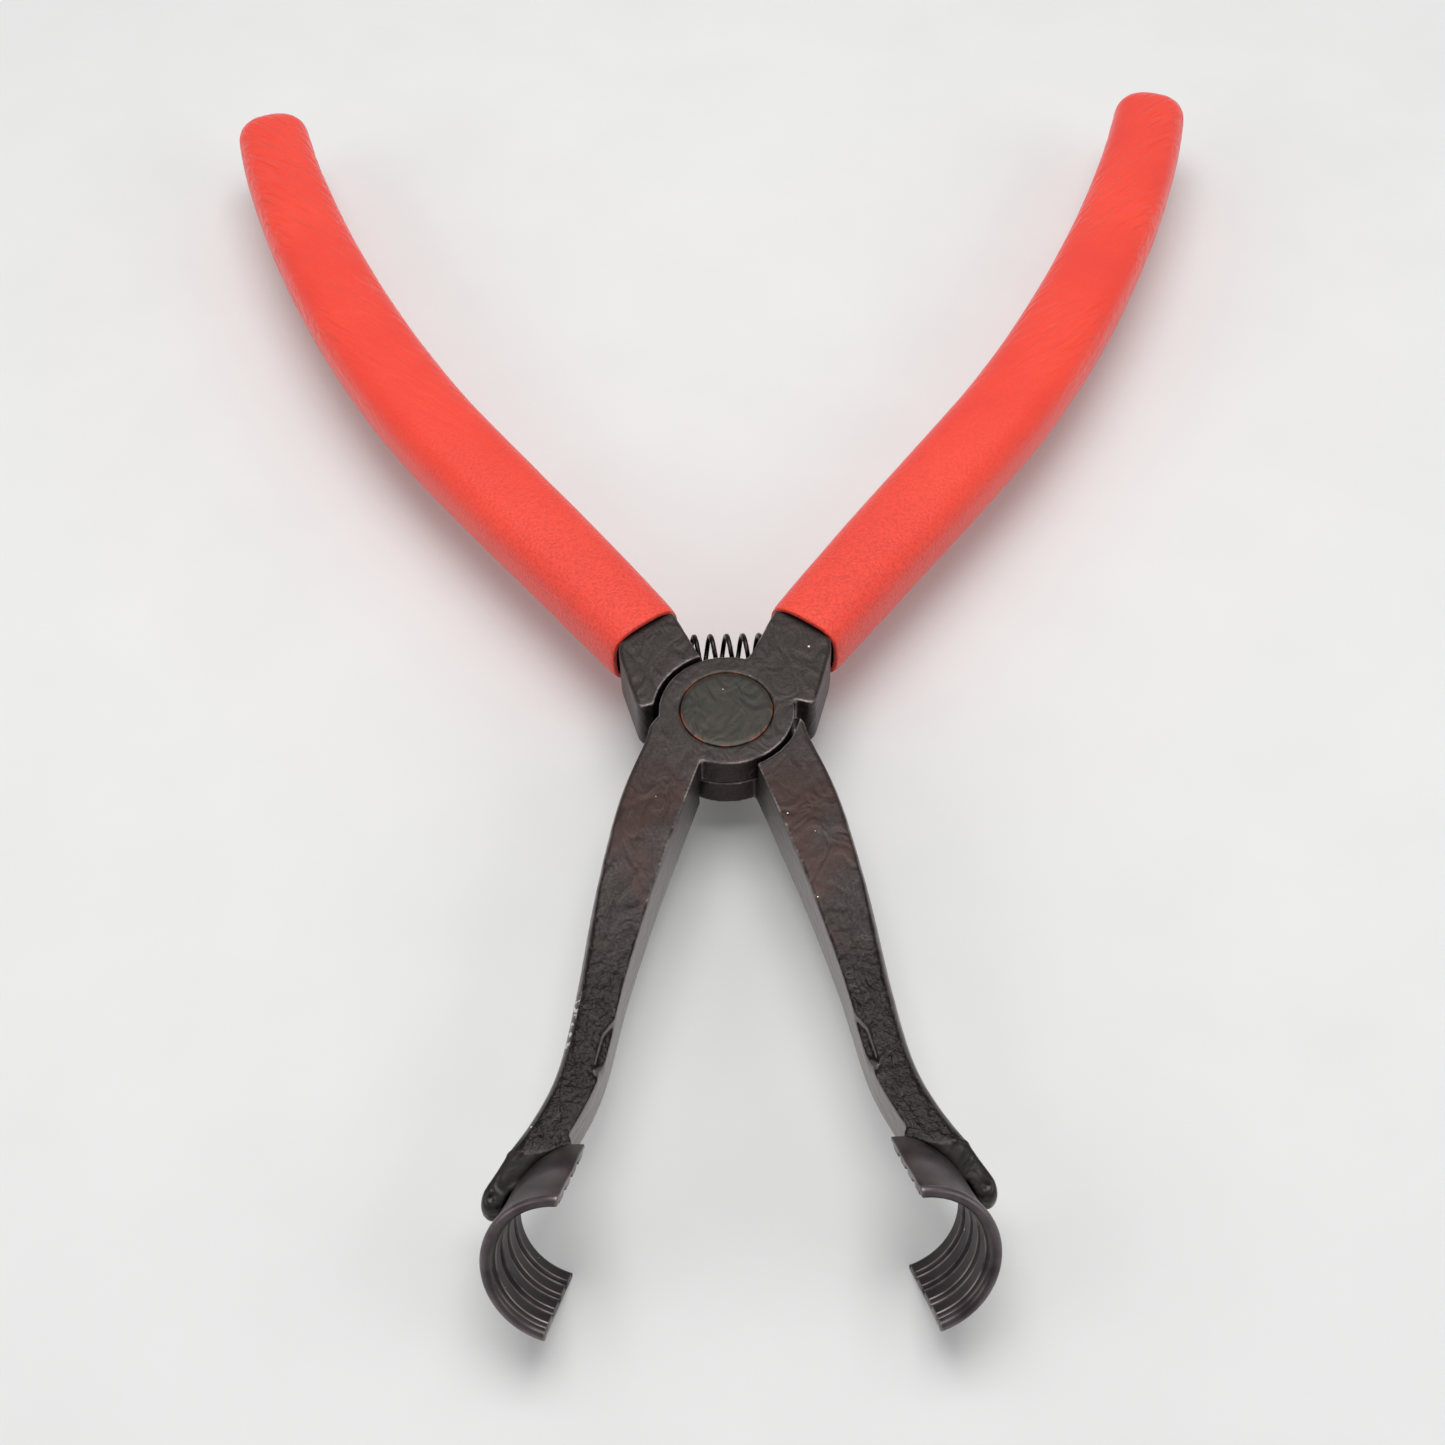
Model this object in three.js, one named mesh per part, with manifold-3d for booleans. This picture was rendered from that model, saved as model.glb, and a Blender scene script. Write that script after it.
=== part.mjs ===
// Spring-return lap-joint pliers with a pair of ribbed half-cylinder jaws.
//
// Millimetres, +Z up. The tool lies on its back: +Y runs from the pivot towards the handle ends,
// the jaws are towards -Y, and the origin is on the pivot axis in the plane of the back faces.
// Both halves are the same forging. The front half has its handle on the right and its jaw on the left,
// and the back half is the same half turned half a turn about the tool's long middle line.
// The model stands at rest, open. Closing turns the front half nearly OPEN_ANGLE * 2 about the pivot
// axis, until the jaws' near corners meet.

import * as THREE from 'three';
import { mergeVertices } from 'three/addons/utils/BufferGeometryUtils.js';
import Module from 'manifold-3d';

// ---- Driving dimensions -------------------------------------------------------------------------

const THICKNESS = 12; // of the neck, the pivot and the root of the arm
const MID_Z = THICKNESS / 2;
const OPEN_ANGLE = 15.2; // degrees that each half stands open from the closed tool

const LAP_RADIUS = 12.5; // the round boss of each half
const LAP_GAP = 0.2; // between the two bosses, face to face
const RECESS_RADIUS = 13.4; // the hollow in each neck and arm that clears the other half's boss

const RIVET_HEAD_RADIUS = 8.5;
const RIVET_SHANK_RADIUS = 5;
const RIVET_HEAD_DEPTH = 2.5;
const RUNNING_CLEARANCE = 0.05; // between the rivet and the halves, all round

const SPRING_RADIUS = 3.05; // to the middle of the wire
const SPRING_WIRE_RADIUS = 0.45;
const SPRING_PITCH = 3.2;
const SPRING_LENGTH = 23.2;
const SPRING_Y = 18.4; // above the pivot axis
const SOCKET_RADIUS = 4;
const SOCKET_END = 12.2; // the blind end of each spring socket, from the middle line

const ARM_END_THICKNESS = 8.4; // the arms thin evenly on both faces from ARM_FULL_Y to ARM_THIN_Y
const ARM_FULL_Y = -26;
const ARM_THIN_Y = -70;

const CUP_REACH = 103.9; // from the pivot axis to the middle of the jaw cup
const CUP_PAST_MIDDLE = 1.1; // the cup's own axis lies this far past the closing plane
const CUP_AZIMUTH = 12.4; // degrees between the two cups' cut edges, halved, with the tool open
const CUP_TILT = 35.5; // degrees that the cup's axis leans out of the tool's plane
const CUP_LENGTH = 18.9;
const CUP_OUTER_RADIUS = 12.3;
const CUP_GROOVE_RADIUS = 11.5; // the wall between the ribs, on the inside
const CUP_RIB_RADIUS = 10.6;
const CUP_RIBS = 4;
const CUP_CLOSED_GAP = 0.3; // from each cup's cut edges to the closing plane
const RIM_BEAD_RADIUS = 0.95;

const TONGUE_TOP_Y = -87; // the front face of each arm slopes back from here along the tongue
const TONGUE_END_Y = -96;
const TONGUE_DROP = 3.5; // how far it has sloped back by the tongue's end
const RELIEF_FLOOR_Z = 9.3; // of the shallow wedge ground off the inner front edge of each arm

const WELD_RADIUS = 0.7;
const WELD_LIFT = 0.4; // the weld's middle stands this far off the cup's outer wall
const FIT_GAP = 0.3; // between pieces that are joined but not moving

const ROUND_SIDES = 48; // facets round a bore, a boss or a cup

const NECK_END_WIDTH = 12.4; // where the neck meets the mouth of the grip
const GRIP_WALL = 1.7;
const GRIP_TIP_LENGTH = 7; // the rounded end
const TANG_SHORT = 0.045; // the tang ends this share of the grip's length before the grip does

// ---- Colours ------------------------------------------------------------------------------------

const blackSteel = () => new THREE.MeshStandardMaterial({ color: 0x2a2524, roughness: 0.5, metalness: 0.8 });
const springSteel = () => new THREE.MeshStandardMaterial({ color: 0x1c1b1c, roughness: 0.35, metalness: 0.9 });
const redVinyl = () => new THREE.MeshStandardMaterial({ color: 0xe8402c, roughness: 0.6, metalness: 0 });

// ---- Joining and cutting ------------------------------------------------------------------------

const wasm = await Module();
wasm.setup();

const vector = (x, y, z) => new THREE.Vector3(x, y, z);
const degrees = THREE.MathUtils.degToRad;

/** A manifold-3d solid from a closed three.js geometry, moved by an optional matrix. */
function solid(geometry, matrix = new THREE.Matrix4()) {
  const bare = geometry.clone().applyMatrix4(matrix);
  bare.deleteAttribute('normal');
  bare.deleteAttribute('uv');
  const merged = mergeVertices(bare, 1e-4);
  const vertProperties = new Float32Array(merged.attributes.position.array);
  const triVerts = new Uint32Array(merged.index.array);
  return new wasm.Manifold(new wasm.Mesh({ numProp: 3, vertProperties, triVerts }));
}

/** The three.js geometry of a manifold-3d solid. */
function geometryOf(body) {
  const mesh = body.getMesh();
  const geometry = new THREE.BufferGeometry();
  geometry.setAttribute('position', new THREE.BufferAttribute(mesh.vertProperties, 3));
  geometry.setIndex(new THREE.BufferAttribute(mesh.triVerts, 1));
  return geometry;
}

/** A flat outline in the XY plane, given thickness from low to high in Z. */
function slab(shape, low, high) {
  const geometry = new THREE.ExtrudeGeometry(shape, {
    depth: high - low,
    curveSegments: 5,
    bevelEnabled: false,
  });
  return geometry.translate(0, 0, low);
}

/** A round bar about the Z axis. */
function disc(radius, low, high) {
  const geometry = new THREE.CylinderGeometry(radius, radius, high - low, ROUND_SIDES);
  return geometry.rotateX(Math.PI / 2).translate(0, 0, (low + high) / 2);
}

// ---- The jaw cups' places -----------------------------------------------------------------------

// The two cups mirror each other: side is -1 for the left jaw and 1 for the right.
const LEFT = -1;
const RIGHT = 1;

/** The cup's middle, with its axis above Y in the tool's plane. */
function cupStand(side) {
  return new THREE.Matrix4()
    .makeRotationZ(degrees(side * OPEN_ANGLE))
    .multiply(new THREE.Matrix4().makeTranslation(-side * CUP_PAST_MIDDLE, -CUP_REACH, MID_Z))
    .multiply(new THREE.Matrix4().makeRotationZ(degrees(side * (CUP_AZIMUTH - OPEN_ANGLE))));
}

/** Cup space has the cup's axis on Y, its far end up and its open side towards the other jaw. */
function cupPlace(side) {
  return cupStand(side).multiply(new THREE.Matrix4().makeRotationX(degrees(-CUP_TILT)));
}

/** The point of a cup's outer wall at height z, at a turn in degrees from its open side over the front. */
function cupWallPoint(side, turn, z) {
  const radius = CUP_OUTER_RADIUS + WELD_LIFT;
  const around = degrees(turn);
  const point = vector(-side * radius * Math.cos(around), 0, radius * Math.sin(around));
  point.applyMatrix4(cupPlace(side));
  const axis = vector(0, 1, 0).transformDirection(cupPlace(side));
  return point.addScaledVector(axis, (z - point.z) / axis.z);
}

// ---- Weld beads ---------------------------------------------------------------------------------

// Each jaw has a fillet weld along the front face of its arm, and one along the back face.
const ARM_FACE_DROP = (THICKNESS - ARM_END_THICKNESS) / 2;
const ARM_FRONT_Z = THICKNESS - ARM_FACE_DROP;
const WELDS = {
  front: { fromTurn: 108, toTurn: 157, fromZ: ARM_FRONT_Z, toZ: ARM_FRONT_Z - TONGUE_DROP + 1 },
  back: { fromTurn: 175.5, toTurn: 187, fromZ: ARM_FACE_DROP, toZ: ARM_FACE_DROP },
};

/** One fillet weld between an arm's face and the outer wall of its cup. */
function cupWeld(side, face, radius = WELD_RADIUS) {
  const stops = 6;
  const { fromTurn, toTurn, fromZ, toZ } = WELDS[face];
  const points = [];
  for (let i = 0; i <= stops; i += 1) {
    const turn = THREE.MathUtils.lerp(fromTurn, toTurn, i / stops);
    const z = THREE.MathUtils.lerp(fromZ, toZ, i / stops);
    points.push(cupWallPoint(side, turn, z));
  }
  const section = new THREE.Shape().absarc(0, 0, radius, 0, Math.PI * 2);
  return new THREE.ExtrudeGeometry(section, {
    steps: 9,
    curveSegments: 4,
    extrudePath: new THREE.CatmullRomCurve3(points),
    bevelEnabled: false,
  });
}

/** The room that a cup's two welds need. */
function weldRoom(side) {
  const radius = WELD_RADIUS + FIT_GAP;
  return solid(cupWeld(side, 'front', radius)).add(solid(cupWeld(side, 'back', radius)));
}

// ---- Jaw cups -----------------------------------------------------------------------------------

/** Half profile of the cup's wall: the ribs inside, the rolled bead on the near rim. */
function cupProfile() {
  const half = CUP_LENGTH / 2;
  const pitch = CUP_LENGTH / (CUP_RIBS + 0.5);
  const ribs = [];
  for (let i = 0; i < CUP_RIBS; i += 1) {
    const middle = -half + RIM_BEAD_RADIUS + pitch * (i + 0.62);
    ribs.push(new THREE.Vector2(CUP_GROOVE_RADIUS, middle - pitch * 0.42));
    ribs.push(new THREE.Vector2(CUP_RIB_RADIUS, middle - pitch * 0.2));
    ribs.push(new THREE.Vector2(CUP_RIB_RADIUS, middle + pitch * 0.2));
    ribs.push(new THREE.Vector2(CUP_GROOVE_RADIUS, middle + pitch * 0.42));
  }
  const bead = [];
  const beadMiddle = new THREE.Vector2(CUP_OUTER_RADIUS - 0.35, -half + RIM_BEAD_RADIUS);
  const beadSteps = 6;
  for (let i = 0; i <= beadSteps; i += 1) {
    const angle = degrees(45 - (270 / beadSteps) * i);
    bead.push(new THREE.Vector2(
      beadMiddle.x + RIM_BEAD_RADIUS * Math.cos(angle),
      beadMiddle.y + RIM_BEAD_RADIUS * Math.sin(angle),
    ));
  }
  const outline = [
    new THREE.Vector2(CUP_GROOVE_RADIUS, half),
    new THREE.Vector2(CUP_OUTER_RADIUS, half),
    ...bead,
    ...ribs,
  ];
  return outline.reverse();
}

/** One half cup, cut just short of the plane where the two cups meet. */
function jawCup(side) {
  const profile = cupProfile();
  const ring = new THREE.LatheGeometry([...profile, profile[0].clone()], ROUND_SIDES);
  const size = 80;
  const keep = new THREE.BoxGeometry(size, size, size);
  const offset = side * (size / 2 + CUP_PAST_MIDDLE + CUP_CLOSED_GAP);
  const keepPlace = cupStand(side).multiply(new THREE.Matrix4().makeTranslation(offset, 0, 0));
  return solid(ring, cupPlace(side)).intersect(solid(keep, keepPlace)).subtract(weldRoom(side));
}

/** The room that a cup and its welds take out of the end of the arm. */
function cupRoom(side) {
  const radius = CUP_OUTER_RADIUS + FIT_GAP;
  const wall = new THREE.CylinderGeometry(radius, radius, CUP_LENGTH + FIT_GAP * 2, ROUND_SIDES);
  const rim = new THREE.CylinderGeometry(radius + 0.7, radius + 0.7, 4, ROUND_SIDES);
  rim.translate(0, -CUP_LENGTH / 2, 0);
  return solid(wall, cupPlace(side)).add(solid(rim, cupPlace(side))).add(weldRoom(side));
}

// ---- Handle and grip ----------------------------------------------------------------------------

const handleLine = new THREE.CatmullRomCurve3([
  vector(15, 20.5, MID_Z),
  vector(31, 42, MID_Z),
  vector(47, 63, MID_Z),
  vector(62, 83.8, MID_Z),
  vector(76, 108, MID_Z),
  vector(88.3, 134.3, MID_Z),
  vector(98, 160.6, MID_Z),
  vector(103.9, 182.4, MID_Z),
]);
const GRIP_LENGTH = handleLine.getLength();

/** Half width and half thickness of the grip, at a share of its length from the mouth. */
const gripHalfWidth = (share) => 8 + 1.2 * Math.sin(Math.PI * share ** 0.85);
const gripHalfThickness = (share) => 7.2 - 0.9 * share;

/** Bends a round-ended bar about the Y axis, of unit radius and unit length, along the handle. */
function alongHandle(bar, inset, squareness) {
  const position = bar.attributes.position;
  for (let i = 0; i < position.count; i += 1) {
    const share = position.getY(i);
    const along = THREE.MathUtils.clamp(share, 0, 1);
    const spine = handleLine.getPointAt(along);
    const forward = handleLine.getTangentAt(along);
    const across = vector(forward.y, -forward.x, 0);
    const radius = Math.hypot(position.getX(i), position.getZ(i));
    const angle = Math.atan2(position.getZ(i), position.getX(i));
    const round = (value) => Math.sign(value) * Math.abs(value) ** (2 / squareness);
    const width = (gripHalfWidth(along) - inset) * radius * round(Math.cos(angle));
    const height = (gripHalfThickness(along) - inset) * radius * round(Math.sin(angle));
    spine.addScaledVector(forward, (share - along) * GRIP_LENGTH);
    spine.addScaledVector(across, width);
    position.setXYZ(i, spine.x, spine.y, spine.z + height);
  }
  return bar;
}

/** Profile of a bar of unit radius from one share of the handle's length to another, round at the end. */
function roundEndedBar(start, end, sides, rings) {
  const dome = GRIP_TIP_LENGTH / GRIP_LENGTH;
  const profile = [new THREE.Vector2(0, start), new THREE.Vector2(1, start)];
  for (let i = 1; i < rings; i += 1) {
    profile.push(new THREE.Vector2(1, THREE.MathUtils.lerp(start, end - dome, i / rings)));
  }
  for (let i = 0; i < 5; i += 1) {
    const angle = (Math.PI / 2) * (i / 5);
    profile.push(new THREE.Vector2(Math.cos(angle), end - dome + dome * Math.sin(angle)));
  }
  profile.push(new THREE.Vector2(0, end));
  return new THREE.LatheGeometry(profile, sides);
}

/** The steel of the handle, from inside the neck to just short of the grip's end. */
function tang() {
  const bar = roundEndedBar(-0.02, 1 - TANG_SHORT, 16, 14);
  return solid(alongHandle(bar, GRIP_WALL, 4));
}

/** The dipped grip: a closed sleeve with a blind hole for the tang. */
function grip() {
  const outside = alongHandle(roundEndedBar(0, 1, 20, 18), 0, 2.9);
  const hole = roundEndedBar(-0.01, 1 - TANG_SHORT + FIT_GAP / GRIP_LENGTH, 16, 14);
  return solid(outside).subtract(solid(alongHandle(hole, GRIP_WALL - FIT_GAP, 4)));
}

// ---- Plier half ---------------------------------------------------------------------------------

/** The neck, from the boss up to the mouth of the grip. */
function neckShape() {
  const forward = handleLine.getTangentAt(0);
  const across = vector(forward.y, -forward.x, 0);
  const end = handleLine.getPointAt(0).addScaledVector(forward, -FIT_GAP);
  const innerCorner = end.clone().addScaledVector(across, -NECK_END_WIDTH / 2);
  const outerCorner = end.clone().addScaledVector(across, NECK_END_WIDTH / 2);
  const shape = new THREE.Shape();
  shape.moveTo(2, 8);
  shape.lineTo(3.9, 11.9);
  shape.quadraticCurveTo(5, 13.2, 5.9, 15.4);
  shape.lineTo(innerCorner.x, innerCorner.y);
  shape.lineTo(outerCorner.x, outerCorner.y);
  shape.quadraticCurveTo(20.2, 14.6, 19.4, 12);
  shape.lineTo(16.9, 3.2);
  shape.quadraticCurveTo(16.4, 1, 15, 1.1);
  shape.lineTo(12, 2.1);
  shape.lineTo(6, 0);
  return shape;
}

/** The arm, from the boss down to the tongue that lies along the jaw cup. */
function armShape() {
  const shape = new THREE.Shape();
  shape.moveTo(-8, 0);
  shape.lineTo(-12.9, -1.4);
  shape.lineTo(-14.3, -3.6);
  shape.splineThru([
    new THREE.Vector2(-14.9, -6.4),
    new THREE.Vector2(-19.6, -20),
    new THREE.Vector2(-23.7, -40),
    new THREE.Vector2(-26.5, -58),
    new THREE.Vector2(-29.2, -71.6),
    new THREE.Vector2(-32.7, -80),
    new THREE.Vector2(-37.7, -87.8),
    new THREE.Vector2(-40.8, -92),
  ]);
  shape.quadraticCurveTo(-41.9, -94.8, -39.9, -95.4);
  shape.lineTo(-34, -94);
  shape.lineTo(-29.2, -87.6);
  shape.splineThru([
    new THREE.Vector2(-25, -80.2),
    new THREE.Vector2(-21.6, -71.5),
    new THREE.Vector2(-18, -55),
    new THREE.Vector2(-12.8, -36),
    new THREE.Vector2(-7.7, -20),
    new THREE.Vector2(-5, -11.8),
  ]);
  shape.lineTo(-2, -6);
  return shape;
}

/** A side view, in the tool's Y and Z, made into a bar right across the tool. */
function crossBar(shape) {
  const width = 120;
  const place = new THREE.Matrix4().makeBasis(vector(0, 1, 0), vector(0, 0, 1), vector(1, 0, 0));
  place.setPosition(-width / 2, 0, 0);
  return solid(slab(shape, 0, width), place);
}

/** The bar that the arm is trimmed to, which thins it towards its end. */
function taperBar() {
  const drop = ARM_FACE_DROP;
  const shape = new THREE.Shape();
  shape.moveTo(40, 0);
  shape.lineTo(40, THICKNESS);
  shape.lineTo(ARM_FULL_Y, THICKNESS);
  shape.lineTo(ARM_THIN_Y, THICKNESS - drop);
  shape.lineTo(-130, THICKNESS - drop);
  shape.lineTo(-130, drop);
  shape.lineTo(ARM_THIN_Y, drop);
  shape.lineTo(ARM_FULL_Y, 0);
  return crossBar(shape);
}

/** What is taken off the front of each arm's end to slope its tongue. */
function tongueSlope() {
  const shape = new THREE.Shape();
  shape.moveTo(TONGUE_TOP_Y, ARM_FRONT_Z);
  shape.lineTo(TONGUE_TOP_Y, ARM_FRONT_Z + 2);
  shape.lineTo(TONGUE_END_Y, ARM_FRONT_Z + 2);
  shape.lineTo(TONGUE_END_Y, ARM_FRONT_Z - TONGUE_DROP);
  return crossBar(shape);
}

/** What is ground off the inner front edge of an arm, just above its bend. */
function edgeRelief(side) {
  const shape = new THREE.Shape();
  shape.moveTo(side * 16, -61);
  shape.lineTo(side * 19.6, -63);
  shape.lineTo(side * 21.9, -66);
  shape.lineTo(side * 23.2, -71.6);
  shape.quadraticCurveTo(side * 23.4, -73, side * 22.4, -72.7);
  shape.lineTo(side * 18, -69.6);
  return solid(slab(shape, RELIEF_FLOOR_Z, THICKNESS + 1));
}

/** One forging, with its boss at the front, its handle on the right and its arm on the left. */
function plierForging() {
  const lapFace = MID_Z + LAP_GAP / 2;
  const neck = solid(slab(neckShape(), 0, THICKNESS));
  const arm = solid(slab(armShape(), 0, THICKNESS)).intersect(taperBar());
  const hollow = solid(disc(RECESS_RADIUS, -1, lapFace));
  const boss = solid(disc(LAP_RADIUS, lapFace, THICKNESS));
  const bore = solid(disc(RIVET_SHANK_RADIUS + RUNNING_CLEARANCE, -1, THICKNESS + 1));
  const headFloor = THICKNESS - RIVET_HEAD_DEPTH - RUNNING_CLEARANCE;
  const headSeat = solid(disc(RIVET_HEAD_RADIUS + RUNNING_CLEARANCE, headFloor, THICKNESS + 1));
  const socketLength = SOCKET_END + 2;
  const socket = new THREE.CylinderGeometry(SOCKET_RADIUS, SOCKET_RADIUS, socketLength, 32);
  socket.rotateZ(Math.PI / 2).translate(socketLength / 2 - 2, SPRING_Y, MID_Z);
  return neck
    .add(tang())
    .add(arm)
    .subtract(hollow)
    .add(boss)
    .subtract(bore)
    .subtract(headSeat)
    .subtract(solid(socket));
}

// ---- Rivet and spring ---------------------------------------------------------------------------

/** A rivet with a flush head set into each half. */
function pivotRivet() {
  const profile = [
    new THREE.Vector2(0, 0),
    new THREE.Vector2(RIVET_HEAD_RADIUS, 0),
    new THREE.Vector2(RIVET_HEAD_RADIUS, RIVET_HEAD_DEPTH),
    new THREE.Vector2(RIVET_SHANK_RADIUS, RIVET_HEAD_DEPTH),
    new THREE.Vector2(RIVET_SHANK_RADIUS, THICKNESS - RIVET_HEAD_DEPTH),
    new THREE.Vector2(RIVET_HEAD_RADIUS, THICKNESS - RIVET_HEAD_DEPTH),
    new THREE.Vector2(RIVET_HEAD_RADIUS, THICKNESS),
    new THREE.Vector2(0, THICKNESS),
  ];
  return new THREE.LatheGeometry(profile, ROUND_SIDES).rotateX(Math.PI / 2);
}

/** The middle line of the coil, about an axis along X. */
class CoilLine extends THREE.Curve {
  getPoint(share, target = new THREE.Vector3()) {
    const length = SPRING_LENGTH - SPRING_WIRE_RADIUS * 2;
    const turns = SPRING_LENGTH / SPRING_PITCH;
    const angle = (share - 0.5) * turns * Math.PI * 2;
    return target.set(
      (share - 0.5) * length,
      SPRING_Y + SPRING_RADIUS * Math.cos(angle),
      MID_Z + SPRING_RADIUS * Math.sin(angle),
    );
  }
}

/** The compression spring that holds the necks apart. */
function returnSpring() {
  const section = new THREE.Shape().absarc(0, 0, SPRING_WIRE_RADIUS, 0, Math.PI * 2);
  return new THREE.ExtrudeGeometry(section, {
    steps: 90,
    curveSegments: 3,
    extrudePath: new CoilLine(),
    bevelEnabled: false,
  });
}

// ---- The tool -----------------------------------------------------------------------------------

/** A named piece. */
function piece(name, geometry, material) {
  const mesh = new THREE.Mesh(geometry, material);
  mesh.name = name;
  return mesh;
}

/** A jaw cup with its welds. */
function jaw(side, name) {
  return [
    piece(`jaw_cup_${name}`, geometryOf(jawCup(side)), blackSteel()),
    piece(`cup_weld_front_${name}`, cupWeld(side, 'front'), blackSteel()),
    piece(`cup_weld_back_${name}`, cupWeld(side, 'back'), blackSteel()),
  ];
}

// Half a turn about the tool's middle line takes the front half to the back half's place.
const halfTurn = new THREE.Matrix4().makeRotationY(Math.PI).setPosition(0, 0, THICKNESS);
const forging = plierForging();
const turnedForging = solid(geometryOf(forging), halfTurn);
const groundOff = (side) => cupRoom(side).add(tongueSlope()).add(edgeRelief(side));
const frontHalf = forging.subtract(groundOff(LEFT));
const backHalf = turnedForging.subtract(groundOff(RIGHT));

const gripRight = piece('grip_right', geometryOf(grip()), redVinyl());
const gripLeft = piece('grip_left', gripRight.geometry, redVinyl());
gripLeft.applyMatrix4(halfTurn);

const pliers = new THREE.Group();
pliers.add(
  piece('plier_half_front', geometryOf(frontHalf), blackSteel()),
  piece('plier_half_back', geometryOf(backHalf), blackSteel()),
  piece('pivot_rivet', pivotRivet(), blackSteel()),
  piece('return_spring', returnSpring(), springSteel()),
  gripRight,
  gripLeft,
  ...jaw(LEFT, 'left'),
  ...jaw(RIGHT, 'right'),
);

export default pliers;
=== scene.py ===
# %% [markdown]
# # Spring-return lap-joint pliers
#
# Two forged steel halves are riveted through a lap joint. Red dipped grips cover the handles, a
# small coil spring holds the tool open, and two ribbed half-cylinder jaws are welded to the arms.
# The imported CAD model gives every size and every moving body. This lesson puts the real surfaces
# on it, one piece at a time: soft forged edges, flat faces, a rolled rim, round wire and vinyl.

# %% Load the frame
import math

import bmesh
import bpy
from mathutils import Matrix, Vector, kdtree, noise


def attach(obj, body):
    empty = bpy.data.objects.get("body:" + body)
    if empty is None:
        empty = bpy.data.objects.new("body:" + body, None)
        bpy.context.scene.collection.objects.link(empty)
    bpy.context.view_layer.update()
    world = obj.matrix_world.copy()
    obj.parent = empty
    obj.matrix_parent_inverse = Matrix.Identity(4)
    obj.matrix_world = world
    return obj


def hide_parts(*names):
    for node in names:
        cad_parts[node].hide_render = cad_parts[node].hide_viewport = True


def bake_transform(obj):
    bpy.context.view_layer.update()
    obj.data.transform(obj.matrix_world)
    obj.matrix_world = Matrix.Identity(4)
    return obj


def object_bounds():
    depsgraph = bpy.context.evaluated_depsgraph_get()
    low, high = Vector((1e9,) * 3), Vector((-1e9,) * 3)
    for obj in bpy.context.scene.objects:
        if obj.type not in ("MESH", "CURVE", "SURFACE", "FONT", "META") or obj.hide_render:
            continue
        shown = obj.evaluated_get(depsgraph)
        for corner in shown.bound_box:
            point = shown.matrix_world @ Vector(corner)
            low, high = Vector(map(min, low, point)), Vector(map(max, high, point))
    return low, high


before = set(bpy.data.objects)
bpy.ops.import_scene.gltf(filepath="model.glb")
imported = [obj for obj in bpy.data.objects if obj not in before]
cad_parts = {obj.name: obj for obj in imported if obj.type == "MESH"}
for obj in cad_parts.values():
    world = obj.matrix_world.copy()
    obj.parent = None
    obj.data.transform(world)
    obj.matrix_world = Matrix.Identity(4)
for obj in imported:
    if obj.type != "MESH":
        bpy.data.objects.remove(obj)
CAD_BOX = [list(corner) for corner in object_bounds()]
MM = 0.001
print("CAD box:", [[round(value, 4) for value in corner] for corner in CAD_BOX])

# %% [markdown]
# ## The camera
#
# The tool lies on its back, with the handles towards +Y. The camera looks down at it from beyond
# the jaws, 52.6 degrees above the plane of the tool and 400 mm from the pivot, and leans a little
# to one side. Building its three axes by hand keeps all of that in one matrix.

# %% Camera
CAMERA_ELEVATION = math.radians(52.6)
CAMERA_DISTANCE = 400 * MM
CAMERA_ROLL = math.radians(-1.4)
CAMERA_LENS = 54.5
PIVOT_FRONT = Vector((0, 0, 12 * MM))
AIM_OFFSET = Vector((0.75 * MM, 2.47 * MM, 0))

turn = Matrix.Rotation(math.pi / 2 - CAMERA_ELEVATION, 4, "X")
turn = turn @ Matrix.Rotation(CAMERA_ROLL, 4, "Z")
camera_data = bpy.data.cameras.new("camera")
camera_data.lens = CAMERA_LENS
camera_data.sensor_width = 36
camera = bpy.data.objects.new("camera", camera_data)
bpy.context.scene.collection.objects.link(camera)
camera_local = Vector((0, 0, CAMERA_DISTANCE)) - AIM_OFFSET
camera.matrix_world = Matrix.Translation(PIVOT_FRONT + turn @ camera_local) @ turn
bpy.context.scene.camera = camera
print("camera at", [round(value, 3) for value in camera.matrix_world.translation])

# %% [markdown]
# ## From a bmesh to a piece
#
# Every new piece ends the same way. Its bmesh becomes a mesh, its object joins the scene at the
# origin, and it is told which body it rides on and which CAD nodes it stands for. One helper
# does that, and prints how many faces the piece has and how big it is.

# %% A helper that finishes a piece
def add_piece(name, bm, stands_for, body=None):
    """Makes the bmesh an object that stands for CAD nodes and rides on a body."""
    mesh = bpy.data.meshes.new(name)
    bm.to_mesh(mesh)
    bm.free()
    for polygon in mesh.polygons:
        polygon.use_smooth = True
    piece = bpy.data.objects.new(name, mesh)
    bpy.context.scene.collection.objects.link(piece)
    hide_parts(*stands_for)
    if body:
        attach(piece, body)
    low = [min(v.co[axis] for v in mesh.vertices) / MM for axis in range(3)]
    high = [max(v.co[axis] for v in mesh.vertices) / MM for axis in range(3)]
    print(name, len(mesh.polygons), "faces,", [round(h - l, 1) for l, h in zip(low, high)], "mm")
    return piece


def cad_copy(node):
    """A bmesh copy of a CAD node, with its loose triangles merged into one closed skin."""
    bm = bmesh.new()
    bm.from_mesh(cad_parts[node].data)
    bmesh.ops.remove_doubles(bm, verts=bm.verts, dist=0.002 * MM)
    return bm


def fill_holes(bm):
    """Closes every open edge loop with a face."""
    open_edges = [edge for edge in bm.edges if edge.is_boundary]
    bmesh.ops.holes_fill(bm, edges=open_edges, sides=0)


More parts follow.
